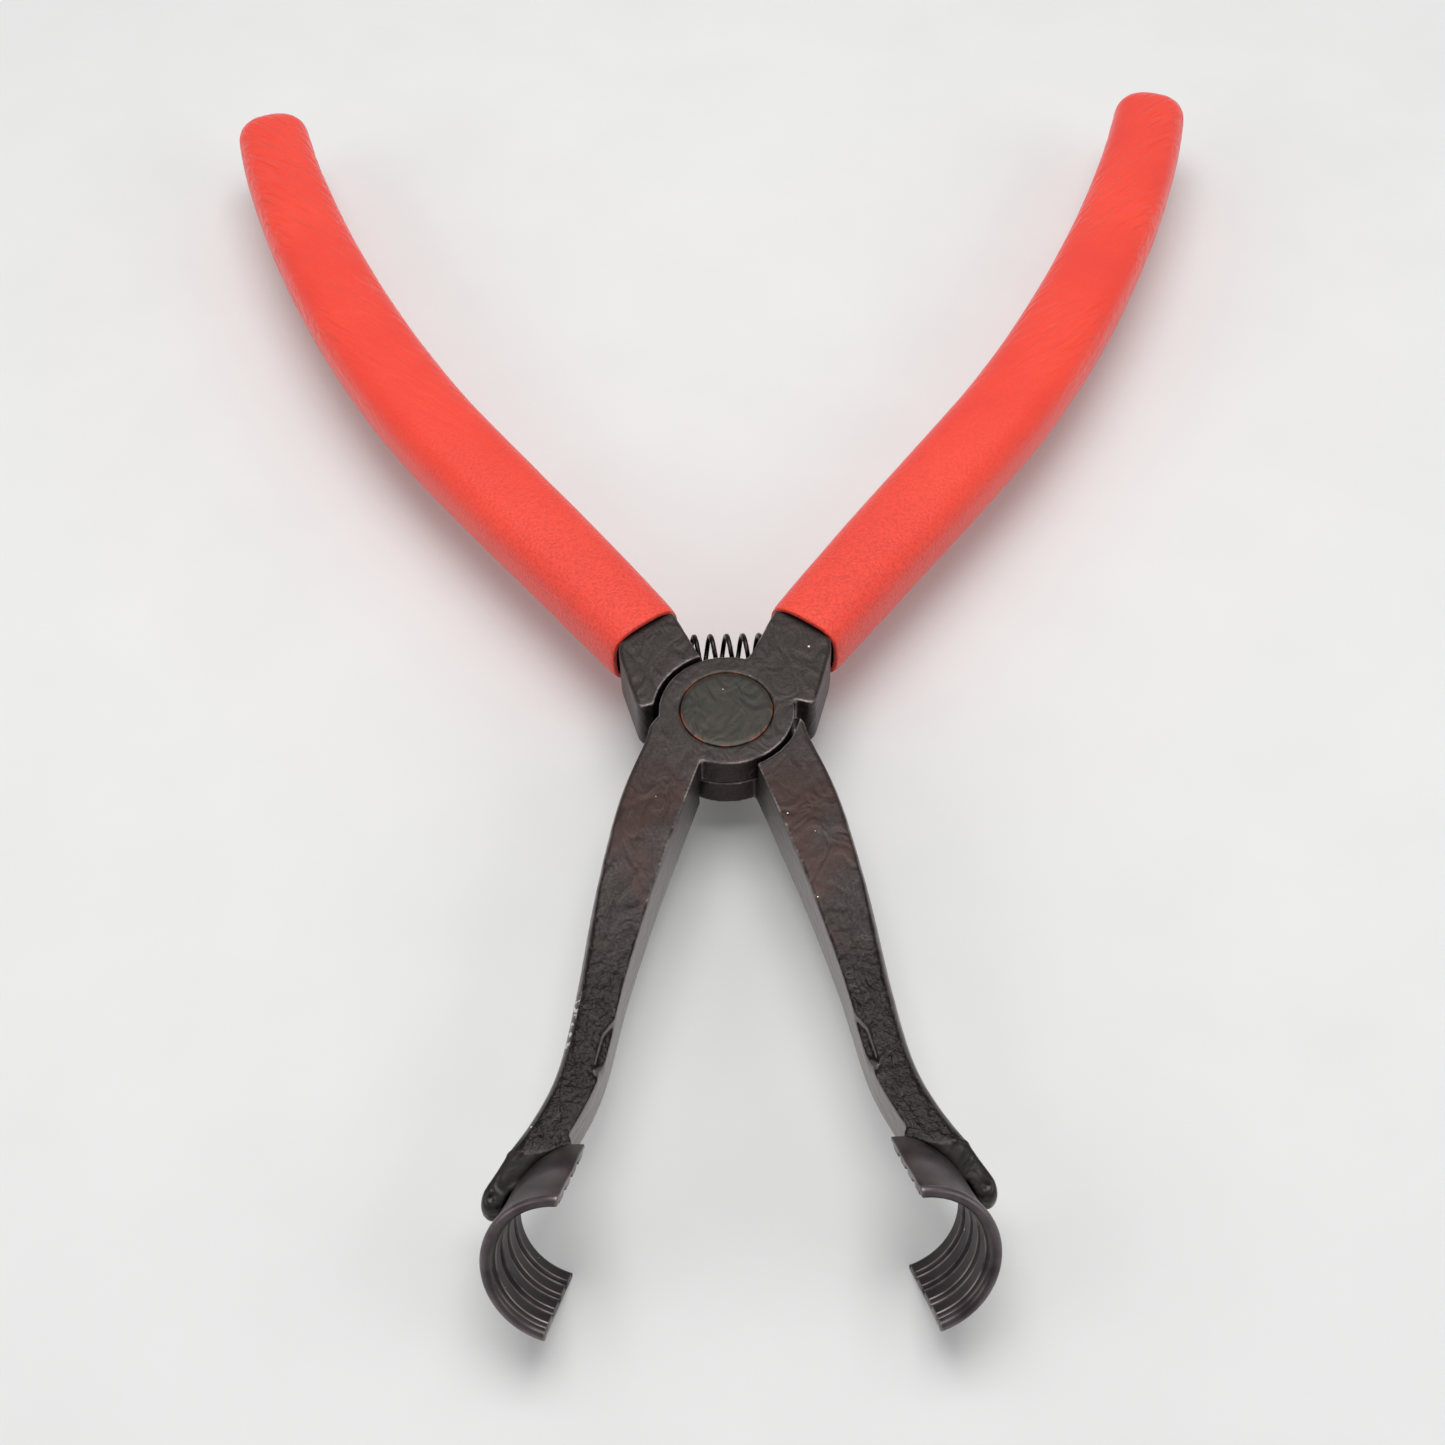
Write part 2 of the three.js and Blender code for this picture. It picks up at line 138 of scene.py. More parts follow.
def evaluated(bm, modifier_kind, **settings):
    """Runs one modifier on a bmesh and gives the result back as a new bmesh."""
    mesh = bpy.data.meshes.new("work")
    bm.to_mesh(mesh)
    bm.free()
    work = bpy.data.objects.new("work", mesh)
    bpy.context.scene.collection.objects.link(work)
    modifier = work.modifiers.new("work", modifier_kind)
    for name, value in settings.items():
        setattr(modifier, name, value)
    graph = bpy.context.evaluated_depsgraph_get()
    result = bmesh.new()
    result.from_mesh(work.evaluated_get(graph).to_mesh())
    bpy.data.objects.remove(work)
    bpy.data.meshes.remove(mesh)
    return result


# %% [markdown]
# ## The forged halves
#
# A forging is rarely sharp all round. The outer edges of the lower arms
# are rounded by more than a millimetre, those near the pivot by less than half of that, and the
# inner edges are crisp. Bevelling the CAD copy would break up where its outlines cross, so the
# visible part is remeshed into small even quads instead, and each vertex is then smoothed as
# often as its nearest edge asks. The tang inside the grip stays plain, because it is never seen.

# %% Part the visible steel from the tang
VOXEL = 0.3 * MM
MOUTH = Vector((15 * MM, 20.5 * MM, 6 * MM))
MOUTH_FORWARD = Vector((0.597, 0.802, 0)).normalized()
TANG_SHOWS = 3 * MM


def visible_and_tang(node, side):
    """The CAD half cut in two, a little way inside the mouth of its grip."""
    mirror = Vector((side, 1, 1))
    forward = MOUTH_FORWARD * mirror
    cut_at = (MOUTH + MOUTH_FORWARD * TANG_SHOWS) * mirror
    parts = []
    for keep_visible in (True, False):
        bm = cad_copy(node)
        everything = bm.verts[:] + bm.edges[:] + bm.faces[:]
        bmesh.ops.bisect_plane(
            bm,
            geom=everything,
            dist=0.0001 * MM,
            plane_co=cut_at,
            plane_no=forward,
            clear_outer=keep_visible,
            clear_inner=not keep_visible,
        )
        fill_holes(bm)
        parts.append(bm)
    return parts


# %% Find the edges that the forging die left round
BOSS_REACH = 14.5 * MM


def round_edge_points(bm, arm_side):
    """Points along the edges between a broad face and a side that faces away from the tool."""
    points = []
    for edge in bm.edges:
        if len(edge.link_faces) != 2:
            continue
        middle = (edge.verts[0].co + edge.verts[1].co) / 2
        if middle.xy.length < BOSS_REACH:
            continue
        normals = sorted((face.normal for face in edge.link_faces), key=lambda n: abs(n.z))
        outward = arm_side if middle.y < 0 else -arm_side
        is_side = abs(normals[0].z) < 0.3 and normals[0].x * outward > 0.55
        if not (is_side and abs(normals[1].z) > 0.8):
            continue
        steps = max(1, int(edge.calc_length() / (0.4 * MM)))
        for step in range(steps + 1):
            points.append(edge.verts[0].co.lerp(edge.verts[1].co, step / steps))
    return points


# %% [markdown]
# The lower part of each arm has shallow dents, a millimetre or two apart. They are real geometry
# here, pushed in along the normals by a noise whose scale is the dents' own size. The pattern
# fades out towards the pivot, where the faces are flat.

# %% Remesh, soften and dent one half
HAMMER_SCALE = 1 / (1.5 * MM)
HAMMER_DEPTH = 0.09 * MM
HAMMER_FROM_Y = -34 * MM
HAMMER_FULL_Y = -54 * MM
ROUND_REACH = 1.7 * MM
CRISP_REACH = 0.45 * MM
ROUND_FROM_Y = -34 * MM
ROUND_FULL_Y = -60 * MM
ROUNDING = ((28, 0.6), (22, 0.85), (16, 1.0))  # passes, and the share of the reach they cover
OVERALL_PASSES = 6


def share_between(value, start, end):
    """0 before start, 1 after end, smooth between them."""
    share = min(max((value - start) / (end - start), 0), 1)
    return share * share * (3 - 2 * share)


def relax(bm, verts, passes):
    """Moves each vertex halfway to the middle of its neighbours, a number of times."""
    for _ in range(passes):
        bmesh.ops.smooth_vert(
            bm, verts=verts, factor=0.5, use_axis_x=True, use_axis_y=True, use_axis_z=True
        )


def soften(bm, round_points):
    """Rounds the vertices near the forged edges, and takes the remesh steps off the rest."""
    tree = kdtree.KDTree(len(round_points))
    for index, point in enumerate(round_points):
        tree.insert(point, index)
    tree.balance()
    near = {}
    layer = bm.verts.layers.float.new("rounded_edge")
    for vert in bm.verts:
        lower = share_between(vert.co.y, ROUND_FROM_Y, ROUND_FULL_Y)
        near[vert] = tree.find(vert.co)[2] / (CRISP_REACH + (ROUND_REACH - CRISP_REACH) * lower)
        vert[layer] = lower * (1 - share_between(near[vert], 0.4, 0.6))
    for passes, reach in ROUNDING:
        relax(bm, [vert for vert in bm.verts if near[vert] < reach], passes)
    relax(bm, bm.verts, OVERALL_PASSES)


def hammer(bm):
    """Dents the broad faces and the outer sides of the lower arm."""
    bm.normal_update()
    for vert in bm.verts:
        strength = share_between(vert.co.y, HAMMER_FROM_Y, HAMMER_FULL_Y)
        if strength == 0:
            continue
        broad = abs(vert.normal.z)
        strength *= 0.1 + 0.9 * share_between(broad, 0.85, 0.99)
        strength *= 1 - 0.85 * share_between(-vert.co.y, 84 * MM, 88 * MM)
        spot = Vector((vert.co.x + vert.co.y * 0.4, vert.co.y - vert.co.x * 0.4, vert.co.z))
        spot.x *= 0.62
        dent = noise.noise(spot * HAMMER_SCALE)
        dent += 0.5 * noise.noise(spot * HAMMER_SCALE * 2.1)
        vert.co -= vert.normal * max(dent, -0.25) * HAMMER_DEPTH * strength


# %% [markdown]
# The arm runs right up to the wall of its jaw, and the weld lies flush in the corner. The CAD
# leaves a round groove there for its bead, so a fattened copy of the bead, trimmed level with the
# arm's faces, joins the arm before the remesh and fills it. Then two small marks go on: the ridge
# at the top of the tongue, and the crater near its tip.

# %% Fill the weld groove and mark the tongue
ARM_THICK = 12 * MM
ARM_DROP = 1.8 * MM
TAPER_FROM_Y = -26 * MM
TAPER_TO_Y = -70 * MM
TONGUE_FROM_Y = -87 * MM
TONGUE_TO_Y = -96 * MM
TONGUE_DROP = 3.5 * MM
FILL_GROWTH = 0.36 * MM
RIDGE_Y = -86.7 * MM
RIDGE_FROM_X = 34.2 * MM
CRATER = Vector((39.3 * MM, -93.4 * MM, 7.6 * MM))


def arm_front(y):
    """The height of the arm's front face at a distance along the tool."""
    taper = min(max((y - TAPER_FROM_Y) / (TAPER_TO_Y - TAPER_FROM_Y), 0), 1)
    slope = min(max((y - TONGUE_FROM_Y) / (TONGUE_TO_Y - TONGUE_FROM_Y), 0), 1)
    return ARM_THICK - ARM_DROP * taper - TONGUE_DROP * slope


def fill_weld_grooves(bm, jaw_name):
    """Joins trimmed, fattened copies of the two beads to the arm."""
    for face_name in ("front", "back"):
        bead = cad_copy(f"cup_weld_{face_name}_{jaw_name}")
        bead.normal_update()
        for vert in bead.verts:
            vert.co += vert.normal * FILL_GROWTH
            vert.co.z = min(vert.co.z, arm_front(vert.co.y))
            vert.co.z = max(vert.co.z, ARM_DROP)
        filler = bpy.data.meshes.new("filler")
        bead.to_mesh(filler)
        bead.free()
        bm.from_mesh(filler)
        bpy.data.meshes.remove(filler)


def mark_tongue(bm):
    """The ridge at the top of the tongue and the crater at its tip."""
    bm.normal_update()
    for vert in bm.verts:
        if vert.co.y > -84 * MM:
            continue
        if abs(vert.co.x) > RIDGE_FROM_X:
            ridge = math.exp(-(((vert.co.y - RIDGE_Y) / (0.42 * MM)) ** 2))
            vert.co += vert.normal * ridge * 0.15 * MM
        away = (Vector((abs(vert.co.x), vert.co.y, vert.co.z)) - CRATER).length / (0.95 * MM)
        if away < 1.4:
            bowl = math.exp(-((away / 0.55) ** 2)) * 0.4
            vert.co -= vert.normal * bowl * MM


# %% Put one half together
def mark_edges(bm):
    """Stores how sharply the skin bends at each vertex, for the wear and the painted edge highlights
    in the finish.
    """
    layer = bm.verts.layers.float.new("edge_bend")
    for vert in bm.verts:
        bends = [edge.calc_face_angle(0) for edge in vert.link_edges]
        vert[layer] = sum(bends) / max(1, len(bends))


def forged_half(name, body, arm_side):
    """One half: soft visible steel, with the plain tang inside the grip."""
    visible, tang = visible_and_tang(name, -arm_side)
    round_points = round_edge_points(visible, arm_side)
    fill_weld_grooves(visible, "left" if arm_side == LEFT else "right")
    skin = evaluated(visible, "REMESH", mode="VOXEL", voxel_size=VOXEL)
    soften(skin, round_points)
    hammer(skin)
    mark_tongue(skin)
    mark_edges(skin)
    tang_mesh = bpy.data.meshes.new("tang")
    tang.to_mesh(tang_mesh)
    tang.free()
    skin.from_mesh(tang_mesh)
    bpy.data.meshes.remove(tang_mesh)
    print(name, len(round_points), "points on its rounded edges")
    return add_piece(name + "_steel", skin, [name], body)


LEFT = -1
RIGHT = 1
front_half = forged_half("plier_half_front", "front_half", LEFT)
back_half = forged_half("plier_half_back", "back_half", RIGHT)

# %% [markdown]
# ## The rivet
#
# The rivet is flush with both faces, so only a fine ring shows. It is a
# turned shape, so its half profile is spun once round the pivot. A small chamfer on the rim makes
# the ring catch light and shadow.

# %% Rivet
RIVET_HEAD = 8.5 * MM
RIVET_SHANK = 5 * MM
RIVET_HEAD_DEPTH = 2.5 * MM
RIVET_LENGTH = 12 * MM
RIVET_CHAMFER = 0.22 * MM


def spun(profile, steps, axis_line, turn_angle, step_travel=(0, 0, 0), centre=(0, 0, 0)):
    """A bmesh with a profile of points spun about an axis."""
    bm = bmesh.new()
    verts = [bm.verts.new(point) for point in profile]
    edges = [bm.edges.new(pair) for pair in zip(verts, verts[1:])]
    bmesh.ops.spin(
        bm,
        geom=verts + edges,
        cent=centre,
        axis=axis_line,
        dvec=step_travel,
        angle=turn_angle,
        steps=steps,
        use_merge=abs(turn_angle) > 2 * math.pi - 0.001 and not any(step_travel),
    )
    bmesh.ops.remove_doubles(bm, verts=bm.verts, dist=0.001 * MM)
    bmesh.ops.recalc_face_normals(bm, faces=bm.faces)
    return bm


def rivet_profile():
    """From the middle of one head, down the shank, to the middle of the other."""
    half = RIVET_LENGTH / 2
    rim = RIVET_HEAD - RIVET_CHAMFER
    head = [
        (0, half),
        (4 * MM, half),
        (rim - 1 * MM, half),
        (rim, half - 0.02 * MM),
        (rim + RIVET_CHAMFER * 0.7, half - RIVET_CHAMFER * 0.4),
        (RIVET_HEAD, half - RIVET_CHAMFER),
        (RIVET_HEAD, half - RIVET_HEAD_DEPTH),
        (RIVET_SHANK, half - RIVET_HEAD_DEPTH),
    ]
    line = head + [(radius, -height) for radius, height in reversed(head)]
    return [Vector((radius, 0, height + half)) for radius, height in line]


rivet_mesh = spun(rivet_profile(), 96, (0, 0, 1), 2 * math.pi)
rivet = add_piece("pivot_rivet_steel", rivet_mesh, ["pivot_rivet"], "back_half")

# %% [markdown]
# ## The jaws
#
# Each jaw is half a short tube with four ribs inside and a rolled bead on the rim nearest the
# hand that feeds the hose. Its wall is one profile, spun about the jaw's own axis and then cut by
# the plane where the two jaws meet. Spinning keeps the ribs exactly parallel, which is what
# makes their highlights read as machined lines.

# %% Where the jaws are
OPEN_ANGLE = math.radians(15.2)
CUP_AZIMUTH = math.radians(12.4)
CUP_REACH = 103.9 * MM
CUP_PAST_MIDDLE = 1.1 * MM
CUP_TILT = math.radians(35.5)
CUP_CLOSED_GAP = 0.3 * MM
MID_Z = 6 * MM


def cup_stand(side):
    """The matrix of the jaw's middle, before it leans out of the plane of the tool."""
    place = Matrix.Rotation(side * OPEN_ANGLE, 4, "Z")
    place = place @ Matrix.Translation((-side * CUP_PAST_MIDDLE, -CUP_REACH, MID_Z))
    return place @ Matrix.Rotation(side * (CUP_AZIMUTH - OPEN_ANGLE), 4, "Z")


def cup_place(side):
    """The matrix from the jaw's own space, with its axis on Y, to the tool."""
    return cup_stand(side) @ Matrix.Rotation(-CUP_TILT, 4, "X")


# %% The wall's profile
CUP_LENGTH = 18.9 * MM
CUP_OUTER = 12.29 * MM
CUP_GROOVE = 11.5 * MM
CUP_RIB = 10.6 * MM
CUP_RIBS = 4
BEAD = 0.95 * MM
WALL_SAMPLES = 96


def rib_radius(along):
    """The inside radius at a distance along the jaw from its near rim."""
    pitch = CUP_LENGTH / (CUP_RIBS + 0.5)
    place = (along - BEAD) / pitch - 0.12
    if place < 0 or place > CUP_RIBS:
        return CUP_GROOVE
    from_middle = abs(place - math.floor(place) - 0.5)
    rise = 1 - share_between(from_middle, 0.27, 0.38)
    return CUP_GROOVE + (CUP_RIB - CUP_GROOVE) * rise


def cup_profile():
    """The closed outline of the wall: ribs, far rim, plain outside, rolled bead."""
    half = CUP_LENGTH / 2
    line = []
    for sample in range(WALL_SAMPLES + 1):
        along = BEAD * 2 + (CUP_LENGTH - BEAD * 2 - 0.15 * MM) * sample / WALL_SAMPLES
        line.append((rib_radius(along), along - half))
    line.append((CUP_GROOVE + 0.15 * MM, half))
    line.append((CUP_OUTER - 0.2 * MM, half))
    line.append((CUP_OUTER, half - 0.2 * MM))
    line.append((CUP_OUTER, 0))
    middle = (CUP_OUTER - 0.35 * MM, BEAD - half)
    for step in range(15):
        angle = math.radians(48 - 276 * step / 14)
        line.append((middle[0] + BEAD * math.cos(angle), middle[1] + BEAD * math.sin(angle)))
    line.append(line[0])
    return [Vector((radius, along, 0)) for radius, along in line]


# %% Spin and cut each jaw
CUP_STEPS = 120
CUT_EDGE_BEVEL = 0.18 * MM


def jaw_cup(name, node, body, side):
    """One half-cylinder jaw, with small bevels on its cut edges."""
    bm = spun(cup_profile(), CUP_STEPS, (0, 1, 0), 2 * math.pi)
    layer = bm.verts.layers.float.new("inside_wall")
    for vert in bm.verts:
        radius = math.hypot(vert.co.x, vert.co.z)
        vert[layer] = 1 - share_between(radius, CUP_GROOVE, CUP_GROOVE + 0.3 * MM)
    bmesh.ops.transform(bm, matrix=cup_place(side), verts=bm.verts)
    stand = cup_stand(side)
    away = stand.to_3x3() @ Vector((-side, 0, 0))
    cut_at = stand @ Vector((side * (CUP_PAST_MIDDLE + CUP_CLOSED_GAP), 0, 0))
    bmesh.ops.bisect_plane(
        bm,
        geom=bm.verts[:] + bm.edges[:] + bm.faces[:],
        dist=0.0001 * MM,
        plane_co=cut_at,
        plane_no=away,
        clear_outer=True,
    )
    cut_edges = [edge for edge in bm.edges if edge.is_boundary]
    bmesh.ops.holes_fill(bm, edges=cut_edges, sides=0)
    bmesh.ops.recalc_face_normals(bm, faces=bm.faces)
    bmesh.ops.bevel(
        bm,
        geom=cut_edges,
        offset=CUT_EDGE_BEVEL,
        offset_type="OFFSET",
        affect="EDGES",
        segments=2,
        profile=0.5,
        material=-1,
        clamp_overlap=True,
    )
    mark_edges(bm)
    return add_piece(name, bm, [node], body)


cup_left = jaw_cup("jaw_cup_left_steel", "jaw_cup_left", "front_half", LEFT)
cup_right = jaw_cup("jaw_cup_right_steel", "jaw_cup_right", "back_half", RIGHT)

# %% [markdown]
# ## The welds
#
# The welds hardly stand above the steel, so only a low, lumpy seam shows in the corner between
# each arm and its jaw. The CAD bead is a plain round bar, so its copy is sunk until it barely
# stands above the steel, remeshed finely, and pushed about by noise.

# %% Weld beads
WELD_SINK = 0.62 * MM
WELD_LUMPS = 1 / (1.4 * MM)
WELD_LUMP_DEPTH = 0.14 * MM
WELD_VOXEL = 0.22 * MM
WELD_PASSES = 4


def weld_bead(node, body):
    """A low seam made from the CAD bar."""
    bm = cad_copy(node)
    sink = -WELD_SINK if "front" in node else WELD_SINK
    bmesh.ops.translate(bm, vec=(0, 0, sink), verts=bm.verts)
    bead = evaluated(bm, "REMESH", mode="VOXEL", voxel_size=WELD_VOXEL)
    relax(bead, bead.verts, WELD_PASSES)
    bead.normal_update()
    for vert in bead.verts:
        vert.co += vert.normal * noise.noise(vert.co * WELD_LUMPS) * WELD_LUMP_DEPTH
    mark_edges(bead)
    return add_piece(node + "_bead", bead, [node], body)


weld_bodies = {"left": "front_half", "right": "back_half"}
welds = []
for jaw_name, jaw_body in weld_bodies.items():
    for face_name in ("front", "back"):
        welds.append(weld_bead(f"cup_weld_{face_name}_{jaw_name}", jaw_body))

# %% [markdown]
# ## The spring
#
# Spin has a second use: when each step also travels along the axis, a ring of vertices becomes a
# coil. The wire ends sit in sockets in the necks, and each end belongs to a different half. The
# coil here is one piece, tied to neither body.

# %% Return spring
SPRING_RADIUS = 3.05 * MM
SPRING_WIRE = 0.45 * MM
SPRING_PITCH = 3.2 * MM
SPRING_LENGTH = 23.2 * MM
SPRING_Y = 18.4 * MM
STEPS_A_TURN = 32


def return_spring():
    """A round-wire coil along X, the same way round as the CAD coil."""
    turns = SPRING_LENGTH / SPRING_PITCH
    start_angle = -turns * math.pi
    length = SPRING_LENGTH - SPRING_WIRE * 2
    steps = int(turns * STEPS_A_TURN)
    bm = bmesh.new()
    ring = bmesh.ops.create_circle(bm, segments=12, radius=SPRING_WIRE, cap_ends=False)
    wire_place = Matrix.Rotation(start_angle, 4, "X") @ Matrix.Translation((0, SPRING_RADIUS, 0))
    coil_place = Matrix.Translation((-length / 2, SPRING_Y, MID_Z))
    lean = Matrix.Rotation(math.atan2(SPRING_PITCH, 2 * math.pi * SPRING_RADIUS), 4, "Y")
    bmesh.ops.transform(bm, matrix=coil_place @ wire_place @ lean, verts=ring["verts"])
    bmesh.ops.spin(
        bm,
        geom=bm.verts[:] + bm.edges[:],
        cent=(0, SPRING_Y, MID_Z),
        axis=(1, 0, 0),
        dvec=(length / steps, 0, 0),
        angle=turns * 2 * math.pi,
        steps=steps,
        use_merge=False,
    )
    fill_holes(bm)
    bmesh.ops.recalc_face_normals(bm, faces=bm.faces)
    return bm


spring = add_piece("return_spring_wire", return_spring(), ["return_spring"])
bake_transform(spring)

# %% [markdown]
# ## The dipped grips
#
# Plastisol vinyl is dipped, not moulded, so the grip is a soft sleeve with a rounded lip, a round
# tip and faint sags and wrinkles. It is a loft: a ring is extruded again and again along the
# handle's line, first down the hole for the tang, then round the lip and up the outside. A
# subdivision surface makes it smooth, and noise adds the sags.

# %% The handle's line
HANDLE_POINTS = (
    (15, 20.5), (31, 42), (47, 63), (62, 83.8), (76, 108), (88.3, 134.3), (98, 160.6), (103.9, 182.4)
)
GRIP_LENGTH = 188 * MM


def handle_at(share):
    """The point and direction of the handle's line at a share of its length."""
    points = [Vector((x, y, 6)) * MM for x, y in HANDLE_POINTS]
    points.insert(0, points[0] * 2 - points[1])
    points.append(points[-1] * 2 - points[-2])
    spans = len(HANDLE_POINTS) - 1
    span = min(int(share * spans), spans - 1)
    t = share * spans - span
    a, b, c, d = points[span:span + 4]
    spot = b + (c - a) * t / 2 + (a * 2 - b * 5 + c * 4 - d) * t * t / 2
    spot += (b * 3 - a - c * 3 + d) * t ** 3 / 2
    slope = (c - a) / 2 + (a * 2 - b * 5 + c * 4 - d) * t + (b * 3 - a - c * 3 + d) * t * t * 1.5
    return spot, slope.normalized()


# %% One ring of the grip
GRIP_SIDES = 24
GRIP_WALL = 1.4 * MM
TIP_LENGTH = 9.5 * MM


def grip_ring(share, inset, squareness, beyond=0.0, shrink=1.0):
    """The points of one ring, in order, for the right-hand grip."""
    spot, forward = handle_at(share)
    across = Vector((forward.y, -forward.x, 0))
    half_width = (8.05 + 1.5 * math.sin(math.pi * min(share, 1) ** 0.85)) * MM - inset
    half_height = (7.2 - 0.9 * share) * MM - inset
    ring = []
    for side_number in range(GRIP_SIDES):
        angle = 2 * math.pi * side_number / GRIP_SIDES
        cosine = math.cos(angle)
        sine = math.sin(angle)
        wide = math.copysign(abs(cosine) ** (2 / squareness), cosine) * half_width * shrink
        high = math.copysign(abs(sine) ** (2 / squareness), sine) * half_height * shrink
        ring.append(spot + forward * beyond + across * wide + Vector((0, 0, high)))
    return ring


# %% Loft the grip
HOLE_END = 0.958
OUTER_RINGS = 34


def grip_rings():
    """All the rings, from the blind end of the hole to the tip."""
    rings = []
    for step in range(9):
        rings.append(grip_ring(HOLE_END * (1 - step / 8), GRIP_WALL, 3.6))
    rings.append(grip_ring(0, GRIP_WALL - 0.25 * MM, 3.4, beyond=-0.05 * MM))
    rings.append(grip_ring(0, 0.35 * MM, 3.0, beyond=-0.05 * MM))
    rings.append(grip_ring(0, 0.0, 2.9, beyond=0.35 * MM))
    body_end = 1 - TIP_LENGTH / GRIP_LENGTH
    for step in range(1, OUTER_RINGS + 1):
        rings.append(grip_ring(body_end * step / OUTER_RINGS, 0.0, 2.9))
    for step in range(1, 8):
        angle = math.pi / 2 * step / 7.4
        share = body_end + TIP_LENGTH * math.sin(angle) / GRIP_LENGTH
        rings.append(grip_ring(share, 0.0, 2.9 - 0.09 * step, shrink=math.cos(angle)))
    return rings


def grip_mesh(side):
    """The lofted sleeve, on the right or mirrored to the left."""
    rings = grip_rings()
    bm = bmesh.new()
    circle = bmesh.ops.create_circle(bm, segments=GRIP_SIDES, radius=1, cap_ends=True)
    ring_verts = circle["verts"]
    ring_edges = [edge for edge in bm.edges if len(edge.link_faces) == 1]
    for vert, point in zip(ring_verts, rings[0]):
        vert.co = point
    for ring in rings[1:]:
        step = bmesh.ops.extrude_edge_only(bm, edges=ring_edges)["geom"]
        ring_edges = [item for item in step if isinstance(item, bmesh.types.BMEdge)]
        ring_edges = [edge for edge in ring_edges if len(edge.link_faces) == 1]
        ring_verts = [item for item in step if isinstance(item, bmesh.types.BMVert)]
        for vert, point in zip(ring_verts, ring):
            vert.co = point
    fill_holes(bm)
    if side == LEFT:
        bmesh.ops.scale(bm, vec=(-1, 1, 1), verts=bm.verts)
    bmesh.ops.recalc_face_normals(bm, faces=bm.faces)
    return bm


# %% Smooth the grip and let it sag
SAG_SCALE = 1 / (11 * MM)
SAG_DEPTH = 0.1 * MM
WRINKLE_DEPTH = 0.16 * MM
WRINKLE_FROM = 90 * MM
WRINKLE_TO = 130 * MM


def sag(bm, side):
    """Pushes the skin in here and there, never out past the CAD box."""
    bm.normal_update()
    for vert in bm.verts:
        slow = noise.noise(vert.co * SAG_SCALE + Vector((side * 5, 0, 0)))
        along = Vector((vert.co.x * side - vert.co.y, (vert.co.x * side + vert.co.y) * 0.25, 0))
        fine = noise.noise(along / (2.2 * MM))
        upper = share_between(vert.co.y, WRINKLE_FROM, WRINKLE_TO)
        vert.co -= vert.normal * (0.5 + 0.5 * slow) * SAG_DEPTH
        vert.co -= vert.normal * max(fine, 0) * WRINKLE_DEPTH * (0.15 + 0.85 * upper)


def dipped_grip(name, node, body, side):
    """One finished grip."""
    settings = {"levels": 2, "render_levels": 2}
    bm = evaluated(grip_mesh(side), "SUBSURF", **settings)
    sag(bm, side)
    return add_piece(name, bm, [node], body)


grip_right = dipped_grip("grip_right_vinyl", "grip_right", "front_half", RIGHT)
grip_left = dipped_grip("grip_left_vinyl", "grip_left", "back_half", LEFT)

# %% [markdown]
# ## Finishes
#
# Colours are picked as sRGB hex values, the way a painter sees them, and a function turns them
# into the linear values that the shader works in. One more helper adds a node together with its
# settings and links, so that each finish below reads as a short recipe.

# %% Helpers for finishes
def linear(hex_colour):
    """A linear RGBA colour from an sRGB hex string."""
    channels = [int(hex_colour[i:i + 2], 16) / 255 for i in (1, 3, 5)]
    lifted = [c / 12.92 if c <= 0.04045 else ((c + 0.055) / 1.055) ** 2.4 for c in channels]
    return (*lifted, 1)


def add_node(tree, kind, inputs=None, **settings):
    """Adds a node. An input is a value, or the output socket that feeds it."""
    node = tree.nodes.new(kind)
    for name, value in settings.items():
        setattr(node, name, value)
    for socket, value in (inputs or {}).items():
        if isinstance(value, bpy.types.NodeSocket):
            tree.links.new(value, node.inputs[socket])
        else:
            node.inputs[socket].default_value = value
    return node


def new_finish(name):
    """An empty material, its tree and its object coordinates."""
    material = bpy.data.materials.new(name)
    material.use_nodes = True
    tree = material.node_tree
    tree.nodes.clear()
    place = add_node(tree, "ShaderNodeTexCoord").outputs["Object"]
    return material, tree, place


def ramp_of(tree, value, *stops):
    """A colour ramp through (position, colour) stops."""
    node = add_node(tree, "ShaderNodeValToRGB", {"Fac": value})
    ramp = node.color_ramp
    while len(ramp.elements) < len(stops):
        ramp.elements.new(0.5)
    for element, (position, colour) in zip(ramp.elements, stops):
        element.position = position
        element.color = colour
    return node.outputs["Color"]


def grey(level):
    """A neutral colour, for masks and roughness."""
    return (level, level, level, 1)


def mix_colour(tree, share, first, second):
    """One colour over another, by a share."""
    node = add_node(
        tree,
        "ShaderNodeMix",
        {"Factor": share, 6: first, 7: second},
        data_type="RGBA",
    )
    return node.outputs[2]


# %% [markdown]
# Most masks in these finishes are made the same three ways: a smooth band between two values,
# noise of a known size, and one mask times another.

# %% Helpers for masks
def band(tree, value, start, end):
    """A mask that goes smoothly from 0 to 1 as the value goes from start to end."""
    node = add_node(
        tree,
        "ShaderNodeMapRange",
        {"Value": value, "From Min": start, "From Max": end},
        interpolation_type="SMOOTHSTEP",
    )
    return node.outputs["Result"]


def noise_of(tree, place, size, detail=2.0, distortion=0.0):
    """Noise with blobs about one size across."""
    node = add_node(
        tree,
        "ShaderNodeTexNoise",
        {"Vector": place, "Scale": 1 / size, "Detail": detail, "Distortion": distortion},
    )
    return node.outputs["Fac"]


def math_of(tree, operation, *values):
    """The result of one Math node."""
    node = add_node(tree, "ShaderNodeMath", dict(enumerate(values)), operation=operation)
    return node.outputs[0]


def times(tree, *masks):
    """Masks multiplied together."""
    result = masks[0]
    for mask in masks[1:]:
        result = math_of(tree, "MULTIPLY", result, mask)
    return result


